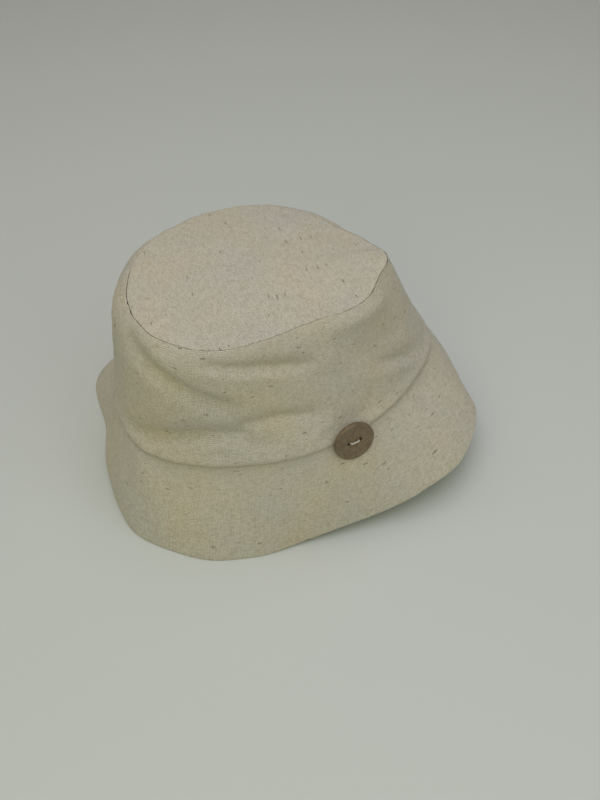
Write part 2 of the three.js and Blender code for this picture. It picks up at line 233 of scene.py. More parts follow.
def around(column, azimuth):
    """A smooth closed curve through one column of the section table."""
    places = np.array([row[0] for row in SECTIONS], float)
    shares = np.array([row[column] for row in SECTIONS], float)
    places = np.concatenate([places[-2:] - 360, places, places[:3] + 360])
    shares = np.concatenate([shares[-2:], shares, shares[:3]])
    slopes = np.gradient(shares)
    slopes[1:-1] = (shares[2:] - shares[:-2]) / (places[2:] - places[:-2])
    azimuth = np.asarray(azimuth, float) % 360
    row = np.searchsorted(places, azimuth, side="right") - 1
    span = places[row + 1] - places[row]
    way = (azimuth - places[row]) / span
    rise = way * way * (3 - 2 * way)
    leave = way * (1 - way) ** 2 * span * slopes[row]
    arrive = way * way * (way - 1) * span * slopes[row + 1]
    return shares[row] + (shares[row + 1] - shares[row]) * rise + leave + arrive


def at_height(points, height):
    points = points.copy()
    points[..., 2] = height
    return points


def scaled(points, factor):
    return points * np.asarray(factor)[..., None]


def unit(vectors):
    return vectors / np.linalg.norm(vectors, axis=-1, keepdims=True)


def waves(azimuth, counts, seed):
    """A soft wave round the hat, about -1 to 1, that mixes the given numbers of waves in one turn."""
    phases = np.random.default_rng(seed).uniform(0, 2 * math.pi, len(counts))
    turn = np.radians(azimuth)
    total = sum(np.sin(count * turn + phase) for count, phase in zip(counts, phases))
    return total / len(counts) ** 0.5 / WAVE_PEAK


def ripple(places, shortest, longest, seed):
    """Soft unevenness of a cloth, about -1 to 1, from crossing waves of the given lengths."""
    chance = np.random.default_rng(seed)
    total = np.zeros(places.shape[:-1])
    for _ in range(RIPPLE_WAVES):
        way = unit(chance.normal(size=3)) * 2 * math.pi / chance.uniform(shortest, longest)
        total += np.sin(places @ way + chance.uniform(0, 2 * math.pi))
    return total / RIPPLE_WAVES**0.5 / WAVE_PEAK


def back_seam(azimuth, reach):
    """How far the sewn ends of a strip draw in at the back."""
    aside = np.radians((azimuth - BACK_SEAM_AZIMUTH + 540) % 360 - 180) * reach
    return BACK_SEAM_DEPTH * np.exp(-((aside / BACK_SEAM_WIDTH) ** 2))


def tip_seam(azimuth):
    reach = oval_radius(TIP_LENGTH, TIP_WIDTH, azimuth) * around(TIP_OUT, azimuth)
    reach = reach + SEAM_WAVER * waves(azimuth, (9, 14, 22, 31), 3)
    height = SEAM_HEIGHT + CROWN_HEIGHT * (1 + around(TIP_UP, azimuth))
    height = height + SEAM_WAVER * waves(azimuth, (12, 19, 27, 41), 4)
    return at_height(scaled(outward(azimuth), reach), height) + np.array([TIP_SIDE, -TIP_FORWARD, 0])


def brim_seam(azimuth):
    height = SEAM_HEIGHT + SEAM_RISE * np.cos(np.radians(azimuth - SEAM_RISE_AZIMUTH))
    height = height - SEAM_SAG * np.exp(-(((azimuth - SEAM_SAG_AZIMUTH) / SEAM_SAG_SPREAD) ** 2))
    reach = oval_radius(HEAD_LENGTH, HEAD_WIDTH, azimuth) * around(SEAM_OUT, azimuth)
    return at_height(scaled(outward(azimuth), reach), height)


def rim_edge(azimuth):
    reach = oval_radius(HEAD_LENGTH, HEAD_WIDTH, azimuth) + BRIM_DEPTH * around(RIM_OUT, azimuth)
    height = np.maximum(BRIM_DEPTH * around(RIM_UP, azimuth), 0)
    return at_height(scaled(outward(azimuth), reach), height)


def fold_depth(azimuth, down):
    """How deep the folds and creases press into the crown wall."""
    degree = math.pi * (HEAD_LENGTH + HEAD_WIDTH) / 2 / 360
    depth = np.zeros_like(azimuth * down)
    for start, top, end, bottom, bow, width, share in FOLDS + CREASES:
        across = ((azimuth - start + 540) % 360 - 180) * degree
        below = (down - top) * CROWN_HEIGHT
        line = ((end - start) * degree, (bottom - top) * CROWN_HEIGHT)
        length = math.hypot(*line)
        along = (across * line[0] + below * line[1]) / length**2
        fade = np.sin(math.pi * np.clip(along, 0, 1))
        aside = (line[0] * below - line[1] * across) / length - bow * CROWN_HEIGHT * fade
        depth += share * FOLD_DEPTH * np.sqrt(fade) * np.exp(-((aside / (width * CROWN_HEIGHT)) ** 2))
    return depth


def wall_point(azimuth, down):
    """The crown wall's outer face, at a share of the way down from the tip seam to the brim seam."""
    top = tip_seam(azimuth)
    chord = brim_seam(azimuth) - top
    drop = -chord[..., 2]
    length = np.linalg.norm(chord, axis=-1)
    proud = unit(at_height(scaled(outward(azimuth), drop), np.hypot(chord[..., 0], chord[..., 1])))
    straight = top + scaled(chord, down)
    swell = (1 - np.exp(-down / SHOULDER_REACH)) * (1 - down) ** SHOULDER_TAPER
    stand = SHOULDER_GAIN * SHOULDER_BULGE * around(SHOULDER, azimuth) * swell
    roll = SEAM_ROLL * np.interp(azimuth % 360, *ROLL_SHARES)
    stand += roll * np.exp(-(((1 - down) * length / SEAM_ROLL_HEIGHT) ** 2))
    clear_of_tip = np.minimum(1, down * CROWN_HEIGHT / FOLD_START)
    stand -= fold_depth(azimuth, down) * clear_of_tip
    stand -= back_seam(azimuth, HEAD_WIDTH / 2) * clear_of_tip
    stand += UNEVENNESS * ripple(straight, 0.014, 0.045, 5) * clear_of_tip
    gathered = np.exp(-(1 - down) * length / PUCKER_FADE) + np.exp(-down * length / PUCKER_FADE)
    stand += PUCKER * waves(azimuth, PUCKER_COUNTS, 6) * gathered
    return straight + scaled(proud, stand)


# The straight blanks that the cloth pieces are shaped from


def pick_nothing():
    bpy.ops.object.select_all(action="DESELECT")


def rolled_blank(name, rows):
    """A straight tube, extruded by one step for each row of the cloth."""
    pick_nothing()
    bpy.ops.mesh.primitive_circle_add(vertices=COLUMNS, radius=1, fill_type="NOTHING")
    piece = bpy.context.object
    piece.name = name
    bpy.ops.object.mode_set(mode="EDIT")
    bpy.ops.mesh.select_all(action="SELECT")
    for _ in range(rows - 1):
        bpy.ops.mesh.extrude_region_move(TRANSFORM_OT_translate={"value": (0, 0, -1)})
    bpy.ops.mesh.select_all(action="SELECT")
    bpy.ops.mesh.normals_make_consistent(inside=False)
    bpy.ops.object.mode_set(mode="OBJECT")
    return piece


def flat_blank(name, rows):
    """A flat disc: a grid in the middle, and one ring round it for each further row."""
    pick_nothing()
    bpy.ops.mesh.primitive_circle_add(vertices=COLUMNS, radius=TIP_GRID, fill_type="NOTHING")
    piece = bpy.context.object
    piece.name = name
    bpy.ops.object.mode_set(mode="EDIT")
    bpy.ops.mesh.select_all(action="SELECT")
    for ring in range(TIP_GRID, rows):
        bpy.ops.mesh.extrude_region_move()
        wider = (ring + 1) / ring
        bpy.ops.transform.resize(value=(wider, wider, 1), center_override=(0, 0, 0))
    bpy.ops.mesh.select_all(action="DESELECT")
    bpy.ops.object.mode_set(mode="OBJECT")
    for vertex in piece.data.vertices:
        vertex.select = vertex.co.length < TIP_GRID + 0.5
    bpy.ops.object.mode_set(mode="EDIT")
    bpy.ops.mesh.select_mode(type="EDGE")
    bpy.ops.mesh.fill_grid(span=COLUMNS // 4)
    bpy.ops.mesh.select_all(action="SELECT")
    bpy.ops.mesh.normals_make_consistent(inside=False)
    bpy.ops.object.mode_set(mode="OBJECT")
    if piece.data.polygons[0].normal.z < 0:
        piece.data.flip_normals()
    return piece


def places_of(piece):
    found = np.zeros(len(piece.data.vertices) * 3)
    piece.data.vertices.foreach_get("co", found)
    return found.reshape(-1, 3)


def put_points(piece, places):
    piece.data.vertices.foreach_set("co", np.asarray(places, np.float64).ravel())
    piece.data.update()


def azimuth_of(places):
    return np.degrees(np.arctan2(places[:, 0], -places[:, 1])) % 360


def lay_grain(piece, across, along, wrap=0.0):
    """The cloth's own map, in metres. wrap is the length at which across comes round again."""
    grain = piece.data.uv_layers.new(name="grain")
    for face in piece.data.polygons:
        values = [across[corner] for corner in face.vertices]
        for loop, value in zip(face.loop_indices, values):
            if wrap and max(values) - value > wrap / 2:
                value += wrap
            grain.data[loop].uv = (value, along[piece.data.loops[loop].vertex_index])


def finish_cloth(piece, thickness, thin=None):
    """Gives the cloth its thickness inwards and smooths it. thin is each point's share of the thickness."""
    pick_nothing()
    bpy.context.view_layer.objects.active = piece
    piece.select_set(True)
    wall = piece.modifiers.new("cloth", "SOLIDIFY")
    wall.thickness = thickness
    wall.offset = -1
    wall.use_even_offset = True
    wall.use_quality_normals = True
    if thin is not None:
        group = piece.vertex_groups.new(name="cloth thickness")
        for index, share in enumerate(thin):
            group.add([index], float(share), "REPLACE")
        wall.vertex_group = group.name
    smooth = piece.modifiers.new("smooth", "SUBSURF")
    smooth.levels = smooth.render_levels = 1
    bpy.ops.object.modifier_apply(modifier=wall.name)
    bpy.ops.object.modifier_apply(modifier=smooth.name)
    bpy.ops.object.shade_smooth()
    return piece


# The cloth pieces


def tip_draw(azimuth):
    """How far the tip's edge is drawn outwards, to lie close to the wall."""
    spread = (TIP_DRAW_TO - TIP_DRAW_FROM) / 2
    aside = (azimuth - (TIP_DRAW_FROM + TIP_DRAW_TO) / 2) / spread
    return TIP_DRAW * np.clip(1.6 * (1 - aside**4), 0, 1)


def make_wall():
    """The crown wall: its edge turned down inside the tip seam, then its face down to the brim seam."""
    edges = len(EDGE_DROPS)
    rows = edges + len(WALL_SHARES)
    piece = rolled_blank("crown_wall_cloth", rows)
    blank = places_of(piece)
    azimuth = azimuth_of(blank)
    row = np.rint(-blank[:, 2]).astype(int)
    down = np.concatenate([np.zeros(edges), WALL_SHARES])[row]
    drops = np.concatenate([EDGE_DROPS, np.zeros(len(WALL_SHARES))])[row]
    thinned_rows = [0, edges, edges + 1, edges + 2, edges + 3, rows - 3, rows - 2, rows - 1]
    thin = np.interp(row, thinned_rows, WALL_THINNING)
    tuck = np.where(row > rows - 4, 1 - thin, 0) * WALL_CLOTH
    face = wall_point(azimuth, down) - scaled(outward(azimuth), tuck)
    face[:, 2] -= drops
    put_points(piece, face + np.array(SEAM_MIDDLE))
    from_back = (azimuth - BACK_SEAM_AZIMUTH) % 360
    lay_grain(piece, from_back / 360 * WALL_GIRTH, drops - down * CROWN_HEIGHT, WALL_GIRTH)
    return finish_cloth(piece, WALL_CLOTH, thin)


def tip_edge(azimuth):
    """The tip's own edge, a clearance inside the seam line."""
    places = np.arange(720) / 2
    line = tip_seam(places)
    along = np.roll(line, -1, axis=0) - np.roll(line, 1, axis=0)
    edge = line - unit(np.cross(along, np.array([0, 0, 1.0]))) * CLEARANCE
    columns = [np.interp(azimuth, places, edge[:, axis], period=360) for axis in range(3)]
    return np.stack(columns, axis=1), edge[:, 2].mean()


def make_tip():
    """The tip: a low dome out to its seam, and its edge turned down beside the wall's edge."""
    last = len(TIP_SHARES) - 1
    rows = last + len(EDGE_DROPS)
    piece = flat_blank("crown_tip_cloth", rows)
    blank = places_of(piece)
    reach = np.linalg.norm(blank[:, :2], axis=1)
    azimuth = azimuth_of(blank)
    edge, mean_height = tip_edge(azimuth)
    centre = np.array([TIP_SIDE, -TIP_FORWARD, mean_height + TIP_DOME])
    share = np.interp(reach, np.arange(last + 1), TIP_SHARES)
    spot = centre + (edge - centre) * share[:, None]
    spot[:, 2] = centre[2] + (edge[:, 2] - centre[2]) * share**2
    dent_reach = oval_radius(TIP_LENGTH, TIP_WIDTH, DENT_AZIMUTH) * DENT_OUT
    dent = outward(DENT_AZIMUTH) * dent_reach + centre
    near = np.hypot(spot[:, 0] - dent[0], spot[:, 1] - dent[1]) / DENT_WIDTH
    spot[:, 2] -= DENT_DEPTH * np.exp(-(near**2)) * (1 - share**DENT_EDGE_FADE)
    for start, end, width, depth in TIP_CREASES:
        line = np.subtract(end, start)
        offset = spot[:, :2] - start
        along = offset @ line / (line @ line)
        aside = (offset[:, 1] * line[0] - offset[:, 0] * line[1]) / np.hypot(*line) / width
        spot[:, 2] -= depth * np.sqrt(np.sin(math.pi * np.clip(along, 0, 1))) * np.exp(-(aside**2))
    inner = 1 - share**DENT_EDGE_FADE
    spot[:, 2] += UNEVENNESS * ripple(spot, 0.018, 0.055, 7) * inner
    gathered = np.exp(-np.linalg.norm(edge - spot, axis=1) / PUCKER_FADE)
    spot[:, 2] += PUCKER * waves(azimuth, PUCKER_COUNTS, 8) * gathered * inner
    drops = np.interp(reach, np.arange(last, rows + 1), np.concatenate([[0], EDGE_DROPS[::-1]]))
    spot[:, 2] -= drops
    spot += scaled(outward(azimuth), tip_draw(azimuth) * share**DENT_EDGE_FADE)
    put_points(piece, spot + np.array(SEAM_MIDDLE))
    turn = math.radians(TIP_GRAIN_TURN)
    across = spot[:, 0] * math.cos(turn) + spot[:, 1] * math.sin(turn)
    along = spot[:, 1] * math.cos(turn) - spot[:, 0] * math.sin(turn)
    lay_grain(piece, across, along - drops)
    return finish_cloth(piece, TIP_CLOTH)


def neck_lines(azimuth):
    """The brim's upper edge, lapped inside the wall's lower edge: one line for each row down it."""
    lap = BRIM_ALLOWANCE / CROWN_HEIGHT
    lines = []
    for part in range(NECK_ROWS + 1):
        down = np.full_like(azimuth, 1 - lap * (1 - part / NECK_ROWS))
        face = wall_point(azimuth, down)
        below = face - wall_point(azimuth, down - 0.01)
        beside = wall_point(azimuth + 0.5, down) - wall_point(azimuth - 0.5, down)
        lines.append(face - unit(np.cross(below, beside)) * (WALL_CLOTH + CLEARANCE))
    return np.stack(lines)


def make_brim():
    """The brim: its upper edge lapped inside the wall's lower edge, then a flare down to the rim."""
    rows = NECK_ROWS + len(FLARE_SHARES)
    piece = rolled_blank("brim_cloth", rows)
    blank = places_of(piece)
    azimuth = azimuth_of(blank)
    row = np.rint(-blank[:, 2]).astype(int)
    neck = neck_lines(azimuth)
    top = neck[NECK_ROWS]
    drop = top + unit(top - neck[0]) * NECK_DROP
    rim = rim_edge(azimuth) + scaled(outward(azimuth), RIM_WAVER * waves(azimuth, (5, 8, 13, 18), 9))
    belly = (drop + rim) / 2 + outward(azimuth) * 2 * BRIM_BELLY
    share = np.concatenate([np.zeros(NECK_ROWS), FLARE_SHARES])[row]
    flare = scaled(top, (1 - share) ** 3) + scaled(drop, 3 * share * (1 - share) ** 2)
    flare += scaled(belly, 3 * share**2 * (1 - share)) + scaled(rim, share**3)
    below = share * np.linalg.norm(rim - top, axis=1)
    stand = BRIM_UNEVENNESS * ripple(flare, 0.022, 0.07, 10) * np.minimum(1, below / BRIM_EASE)
    puckers = PUCKER * waves(azimuth, PUCKER_COUNTS, 6) * np.exp(-below / PUCKER_FADE)
    stand += puckers * np.minimum(1, below / CLEARANCE)
    stand -= back_seam(azimuth, HEAD_WIDTH / 2) * np.minimum(1, below / NECK_DROP)
    flare += scaled(outward(azimuth), stand)
    face = np.where((row > NECK_ROWS)[:, None], flare, neck[np.minimum(row, NECK_ROWS), np.arange(len(row))])
    put_points(piece, face + np.array(SEAM_MIDDLE))
    from_back = (azimuth - BACK_SEAM_AZIMUTH) % 360
    along = np.maximum(NECK_ROWS - row, 0) / NECK_ROWS * BRIM_ALLOWANCE - below
    lay_grain(piece, from_back / 360 * BRIM_GIRTH, along, BRIM_GIRTH)
    finish_cloth(piece, BRIM_CLOTH)
    places = places_of(piece)
    places[:, 2] = np.maximum(places[:, 2], 0)
    put_points(piece, places)
    return piece


wall = make_wall()
tip = make_tip()
brim = make_brim()


# Materials: small helpers, then the groups that the materials share


def put(tree, kind, inputs=None, **settings):
    """A shader node with its settings. An input is a plain value or another node's output."""
    made = tree.nodes.new("ShaderNode" + kind)
    for name, value in settings.items():
        setattr(made, name, value)
    for name, value in (inputs or {}).items():
        if isinstance(value, bpy.types.NodeSocket):
            tree.links.new(value, made.inputs[name])
        else:
            made.inputs[name].default_value = value
    return made


def sums(tree, operation, *values):
    """One step of arithmetic."""
    return put(tree, "Math", dict(enumerate(values)), operation=operation).outputs[0]


def noise(tree, place, scale, detail=2.0):
    return put(tree, "TexNoise", {"Vector": place, "Scale": scale, "Detail": detail}).outputs[0]


def ramp(tree, value, low, high, start=0.0, end=1.0):
    """Eases from start to end while value goes from low to high."""
    spans = {"Value": value, "From Min": low, "From Max": high, "To Min": start, "To Max": end}
    return put(tree, "MapRange", spans, interpolation_type="SMOOTHSTEP").outputs[0]


def blend(tree, share, first, second, way="MIX"):
    """Two colours mixed; a colour is three values or another node's output."""
    colours = [
        colour if isinstance(colour, bpy.types.NodeSocket) else (*colour, 1)
        for colour in (first, second)
    ]
    made = put(tree, "Mix", {0: share, 6: colours[0], 7: colours[1]}, data_type="RGBA", blend_type=way)
    return made.outputs[2]


def new_group(name, inputs, outputs):
    tree = bpy.data.node_groups.new(name, "ShaderNodeTree")
    for label, kind, value in inputs:
        socket = tree.interface.new_socket(label, in_out="INPUT", socket_type="NodeSocket" + kind)
        if value is not None:
            socket.default_value = value
    for label, kind in outputs:
        tree.interface.new_socket(label, in_out="OUTPUT", socket_type="NodeSocket" + kind)
    return tree, tree.nodes.new("NodeGroupInput").outputs, tree.nodes.new("NodeGroupOutput").inputs


def use(tree, group, inputs):
    made = put(tree, "Group", node_tree=group)
    for name, value in inputs.items():
        if isinstance(value, bpy.types.NodeSocket):
            tree.links.new(value, made.inputs[name])
        else:
            made.inputs[name].default_value = value
    return made.outputs


def thread_set(tree, place, length, shift):
    """One set of parallel threads: their numbers, their round backs and their tones along their length."""
    number = sums(tree, "FLOOR", place)
    back = sums(tree, "SINE", sums(tree, "MULTIPLY", sums(tree, "FRACT", place), math.pi))
    spot = put(tree, "CombineXYZ", {0: sums(tree, "MULTIPLY_ADD", number, 5.3, shift), 1: length}).outputs[0]
    noise_at = {"Vector": spot, "Scale": 1.0, "Detail": 3.0}
    tone = put(tree, "TexNoise", noise_at, noise_dimensions="2D").outputs[0]
    return number, back, tone


def plain_weave():
    """Threads that go over and under each other, uneven in tone and slightly out of line."""
    inputs = [
        ("Grain", "Vector", None),
        ("Pitch", "Float", 0.0008),
        ("Streak", "Float", 0.0035),
        ("Wander", "Float", 0.0006),
    ]
    outputs = [("Height", "Float"), ("Tone", "Float"), ("Gap", "Float")]
    tree, given, result = new_group("plain weave", inputs, outputs)
    drift = put(tree, "TexNoise", {"Vector": given["Grain"], "Scale": 120.0, "Detail": 1.0}).outputs["Color"]
    drift = put(tree, "VectorMath", {0: drift, 1: (0.5, 0.5, 0.5)}, operation="SUBTRACT").outputs[0]
    drift = put(tree, "VectorMath", {0: drift, "Scale": given["Wander"]}, operation="SCALE").outputs[0]
    place = put(tree, "VectorMath", {0: given["Grain"], 1: drift}, operation="ADD").outputs[0]
    split = put(tree, "SeparateXYZ", {0: place}).outputs
    across = sums(tree, "DIVIDE", split[0], given["Pitch"])
    along = sums(tree, "DIVIDE", split[1], given["Pitch"])
    warp_length = sums(tree, "DIVIDE", split[1], given["Streak"])
    weft_length = sums(tree, "DIVIDE", split[0], given["Streak"])
    warp, warp_back, warp_tone = thread_set(tree, across, warp_length, 0.0)
    weft, weft_back, weft_tone = thread_set(tree, along, weft_length, 71.7)
    turn = sums(tree, "FLOORED_MODULO", sums(tree, "ADD", warp, weft), 2.0)
    side = sums(tree, "SUBTRACT", turn, 0.5)
    warp_height = sums(tree, "MULTIPLY", warp_back, sums(tree, "MULTIPLY_ADD", side, weft_back, 0.5))
    under = sums(tree, "MULTIPLY", side, -1.0)
    weft_height = sums(tree, "MULTIPLY", weft_back, sums(tree, "MULTIPLY_ADD", under, warp_back, 0.5))
    height = sums(tree, "MAXIMUM", warp_height, weft_height)
    over = sums(tree, "GREATER_THAN", warp_height, weft_height)
    even_tone = sums(tree, "MULTIPLY_ADD", warp_tone, 0.6, 0.24)
    tone = put(tree, "Mix", {0: over, 2: weft_tone, 3: even_tone}, data_type="FLOAT").outputs[0]
    tree.links.new(height, result["Height"])
    tree.links.new(tone, result["Tone"])
    # The gaps between the threads, where the linen's colour is darkened with painted shade
    tree.links.new(ramp(tree, height, 0.05, 0.5, 1.0, 0.0), result["Gap"])
    return tree


def slubs():
    """Short thick places in single threads."""
    inputs = [
        ("Grain", "Vector", None),
        ("Length", "Float", 0.014),
        ("Height", "Float", 0.003),
        ("Share", "Float", 0.2),
        ("Thickness", "Float", 0.12),
    ]
    tree, given, result = new_group("slubs", inputs, [("Mask", "Float")])
    split = put(tree, "SeparateXYZ", {0: given["Grain"]}).outputs
    across = sums(tree, "DIVIDE", split[0], given["Length"])
    along = sums(tree, "DIVIDE", split[1], given["Height"])
    place = put(tree, "CombineXYZ", {0: across, 1: along}).outputs[0]
    cells = put(tree, "TexVoronoi", {"Vector": place, "Scale": 1.0}, voronoi_dimensions="2D").outputs
    chance = put(tree, "SeparateColor", {0: cells["Color"]}).outputs
    radius = sums(tree, "MULTIPLY", given["Thickness"], sums(tree, "ADD", chance[1], 0.35))
    mark = ramp(tree, sums(tree, "DIVIDE", cells["Distance"], radius), 0.6, 1.1, 1.0, 0.0)
    here = sums(tree, "LESS_THAN", chance[0], given["Share"])
    frayed = ramp(tree, noise(tree, given["Grain"], 2600.0), 0.3, 0.6)
    mark = sums(tree, "MULTIPLY", sums(tree, "MULTIPLY", mark, here), frayed)
    tree.links.new(mark, result["Mask"])
    return tree


def seam_mark():
    """The line where the two ends of a strip are sewn together."""
    inputs = [("Grain", "Vector", None), ("Girth", "Float", 0.56), ("Width", "Float", 0.0006)]
    tree, given, result = new_group("back seam", inputs, [("Mask", "Float")])
    across = put(tree, "SeparateXYZ", {0: given["Grain"]}).outputs[0]
    half = sums(tree, "MULTIPLY", given["Girth"], 0.5)
    from_end = sums(tree, "SUBTRACT", half, sums(tree, "ABSOLUTE", sums(tree, "SUBTRACT", across, half)))
    tree.links.new(ramp(tree, from_end, 0.0, given["Width"], 1.0, 0.0), result["Mask"])
    return tree


def stitch_row():
    """A straight row of stitches at one height in the grain."""
    inputs = [
        ("Grain", "Vector", None),
        ("Row", "Float", 0.002),
        ("Stitch", "Float", 0.0026),
        ("Width", "Float", 0.0005),
    ]
    tree, given, result = new_group("stitch row", inputs, [("Mask", "Float"), ("Height", "Float")])
    split = put(tree, "SeparateXYZ", {0: given["Grain"]}).outputs
    aside = sums(tree, "ABSOLUTE", sums(tree, "SUBTRACT", split[1], given["Row"]))
    line = ramp(tree, sums(tree, "DIVIDE", aside, given["Width"]), 0.35, 0.6, 1.0, 0.0)
    step = sums(tree, "FRACT", sums(tree, "DIVIDE", split[0], given["Stitch"]))
    bulge = sums(tree, "SINE", sums(tree, "MULTIPLY", step, math.pi))
    stitch = sums(tree, "MULTIPLY", line, ramp(tree, bulge, 0.25, 0.5))
    tree.links.new(stitch, result["Mask"])
    tree.links.new(sums(tree, "MULTIPLY", stitch, bulge), result["Height"])
    return tree


WEAVE, SLUBS, SEAM_MARK, STITCHES = plain_weave(), slubs(), seam_mark(), stitch_row()
PALE_THREAD = (0.7, 0.635, 0.51)
DARK_THREAD = (0.53, 0.465, 0.345)
# Painted shade: the dark colour laid into the gaps between the threads and along the back seam's groove
PAINTED_GAP_SHADE = (0.17, 0.13, 0.08)
WARM_PATCH = (1.03, 1, 0.95)
COOL_PATCH = (0.96, 0.99, 1.03)
SLUB = (0.13, 0.085, 0.05)
SPECK = {"Length": 0.0045, "Height": 0.0016, "Share": 0.14, "Thickness": 0.16}
# Heights that the bumps stand, in metres
WEAVE_RELIEF = 0.00016
SLUB_RELIEF = 0.0001
HAND_RELIEF = 0.0006
BACK_SEAM_RELIEF = -0.0005
STITCH_RELIEF = 0.0004
SEWING_THREAD = (0.72, 0.67, 0.56)


def linen(name, gap_shade, girth=None, stitched=False):
    """Plain undyed linen.

    gap_shade is how dark the shade painted into the gaps between its threads is, and girth is the
    length round a strip whose ends are sewn together at the back.
    """
    material = bpy.data.materials.new(name)
    material.use_nodes = True
    tree = material.node_tree
    shader = tree.nodes["Principled BSDF"]
    grain = put(tree, "UVMap", uv_map="grain").outputs[0]
    weave = use(tree, WEAVE, {"Grain": grain})
    marks = use(tree, SLUBS, {"Grain": grain})["Mask"]
    specks = use(tree, SLUBS, {"Grain": grain, **SPECK})["Mask"]
    colour = blend(tree, ramp(tree, weave["Tone"], 0.3, 0.66), DARK_THREAD, PALE_THREAD)
    # Painted shade: the gaps between the threads are darkened in the colour, beside the weave's bump
    colour = blend(tree, sums(tree, "MULTIPLY", weave["Gap"], gap_shade), colour, PAINTED_GAP_SHADE)
    patch = ramp(tree, noise(tree, grain, 24.0), 0.3, 0.7)
    colour = blend(tree, 1.0, colour, blend(tree, patch, WARM_PATCH, COOL_PATCH), "MULTIPLY")
    colour = blend(tree, sums(tree, "MULTIPLY", specks, 0.4), colour, SLUB)
    colour = blend(tree, sums(tree, "MULTIPLY", marks, 0.8), colour, SLUB)
    height = sums(tree, "MULTIPLY", weave["Height"], WEAVE_RELIEF)
    height = sums(tree, "MULTIPLY_ADD", marks, SLUB_RELIEF, height)
    height = sums(tree, "MULTIPLY_ADD", noise(tree, grain, 110.0, 3.0), HAND_RELIEF, height)
    if girth:
        seam = use(tree, SEAM_MARK, {"Grain": grain, "Girth": girth})["Mask"]
        # Painted shade: the back seam's groove is darkened in the colour, beside its dip in the bump
        colour = blend(tree, sums(tree, "MULTIPLY", seam, 0.5), colour, PAINTED_GAP_SHADE)
        height = sums(tree, "MULTIPLY_ADD", seam, BACK_SEAM_RELIEF, height)
    if stitched:
        row = use(tree, STITCHES, {"Grain": grain})
        colour = blend(tree, row["Mask"], colour, SEWING_THREAD)
        height = sums(tree, "MULTIPLY_ADD", row["Height"], STITCH_RELIEF, height)
    bump = put(tree, "Bump", {"Height": height, "Distance": 1.0, "Strength": 1.0}).outputs[0]
    tree.links.new(colour, shader.inputs["Base Color"])
    tree.links.new(bump, shader.inputs["Normal"])
    shader.inputs["Roughness"].default_value = 0.9
    shader.inputs["Specular IOR Level"].default_value = 0.25
    shader.inputs["Sheen Weight"].default_value = 0.12
    shader.inputs["Sheen Roughness"].default_value = 0.5
    return material


def coconut():
    """Brown shell, mottled and finely flecked, with a satin face."""
    material = bpy.data.materials.new("coconut")
    material.use_nodes = True
    tree = material.node_tree
    shader = tree.nodes["Principled BSDF"]
    place = put(tree, "TexCoord").outputs["Object"]
    patches = ramp(tree, noise(tree, place, 420.0, 4.0), 0.35, 0.65)
    flecks = put(tree, "TexVoronoi", {"Vector": place, "Scale": 1500.0}).outputs["Distance"]
    colour = blend(tree, patches, (0.15, 0.105, 0.056), (0.215, 0.152, 0.085))
    colour = blend(tree, ramp(tree, flecks, 0.0, 0.2, 0.45, 0.0), colour, (0.07, 0.045, 0.028))
    height = sums(tree, "MULTIPLY", noise(tree, place, 1400.0, 3.0), 0.00006)
    bump = put(tree, "Bump", {"Height": height, "Distance": 1.0, "Strength": 1.0}).outputs[0]
    tree.links.new(colour, shader.inputs["Base Color"])
    tree.links.new(ramp(tree, patches, 0.0, 1.0, 0.42, 0.58), shader.inputs["Roughness"])
    tree.links.new(bump, shader.inputs["Normal"])
    return material


def sewing_thread():
    material = bpy.data.materials.new("sewing thread")
    material.use_nodes = True
    tree = material.node_tree
    shader = tree.nodes["Principled BSDF"]
    place = put(tree, "TexCoord").outputs["Object"]
    tone = ramp(tree, noise(tree, place, 2500.0, 2.0), 0.3, 0.7)
    tree.links.new(blend(tree, tone, (0.5, 0.45, 0.36), (0.74, 0.69, 0.58)), shader.inputs["Base Color"])
    shader.inputs["Roughness"].default_value = 0.85
    return material


def plain_floor():
    material = bpy.data.materials.new("floor")
    material.use_nodes = True
    shader = material.node_tree.nodes["Principled BSDF"]
    shader.inputs["Base Color"].default_value = (0.66, 0.67, 0.615, 1)
    shader.inputs["Roughness"].default_value = 0.8
    shader.inputs["Specular IOR Level"].default_value = 0.2
    return material


# The button and its thread


def button_place():
    """The turn and place of the button, from its solid's middle."""
    low, high = [Vector(corner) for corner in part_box("button")]
    turn = math.radians(BUTTON_FACING)
    tilt = math.radians(BUTTON_TILT)
    facing = Vector((math.sin(turn) * math.cos(tilt), -math.cos(turn) * math.cos(tilt), math.sin(tilt)))
    right = Vector((math.cos(turn), math.sin(turn), 0))
    basis = Matrix((right, facing.cross(right), facing)).transposed().to_4x4()
    twist = Matrix.Rotation(math.radians(BUTTON_TWIST), 4, "Z")
    to_back = Matrix.Translation((0, 0, -BUTTON_THICKNESS / 2))
    return Matrix.Translation((low + high) / 2) @ basis @ twist @ to_back


def on_ring(point, ring):
    radius, height, across = ring
    level = abs(point.z - height) < RING_HEIGHT_MATCH
    return level and abs(math.hypot(point.x - across, point.y) - radius) < RING_RADIUS_MATCH


def bevel_rings(piece, rings, width, segments):
    """Rounds the edges of the rings, each given by its radius, its height and its middle's place across."""
    mesh = piece.data
    for edge in mesh.edges:
        ends = [mesh.vertices[index].co for index in edge.vertices]
        edge.select = any(all(on_ring(point, ring) for point in ends) for ring in rings)
    bpy.ops.object.mode_set(mode="EDIT")
    bpy.ops.mesh.select_mode(type="EDGE")
    bpy.ops.mesh.bevel(offset=width, segments=segments, affect="EDGES")
    bpy.ops.mesh.select_all(action="DESELECT")
    bpy.ops.mesh.select_mode(type="VERT")
    bpy.ops.object.mode_set(mode="OBJECT")


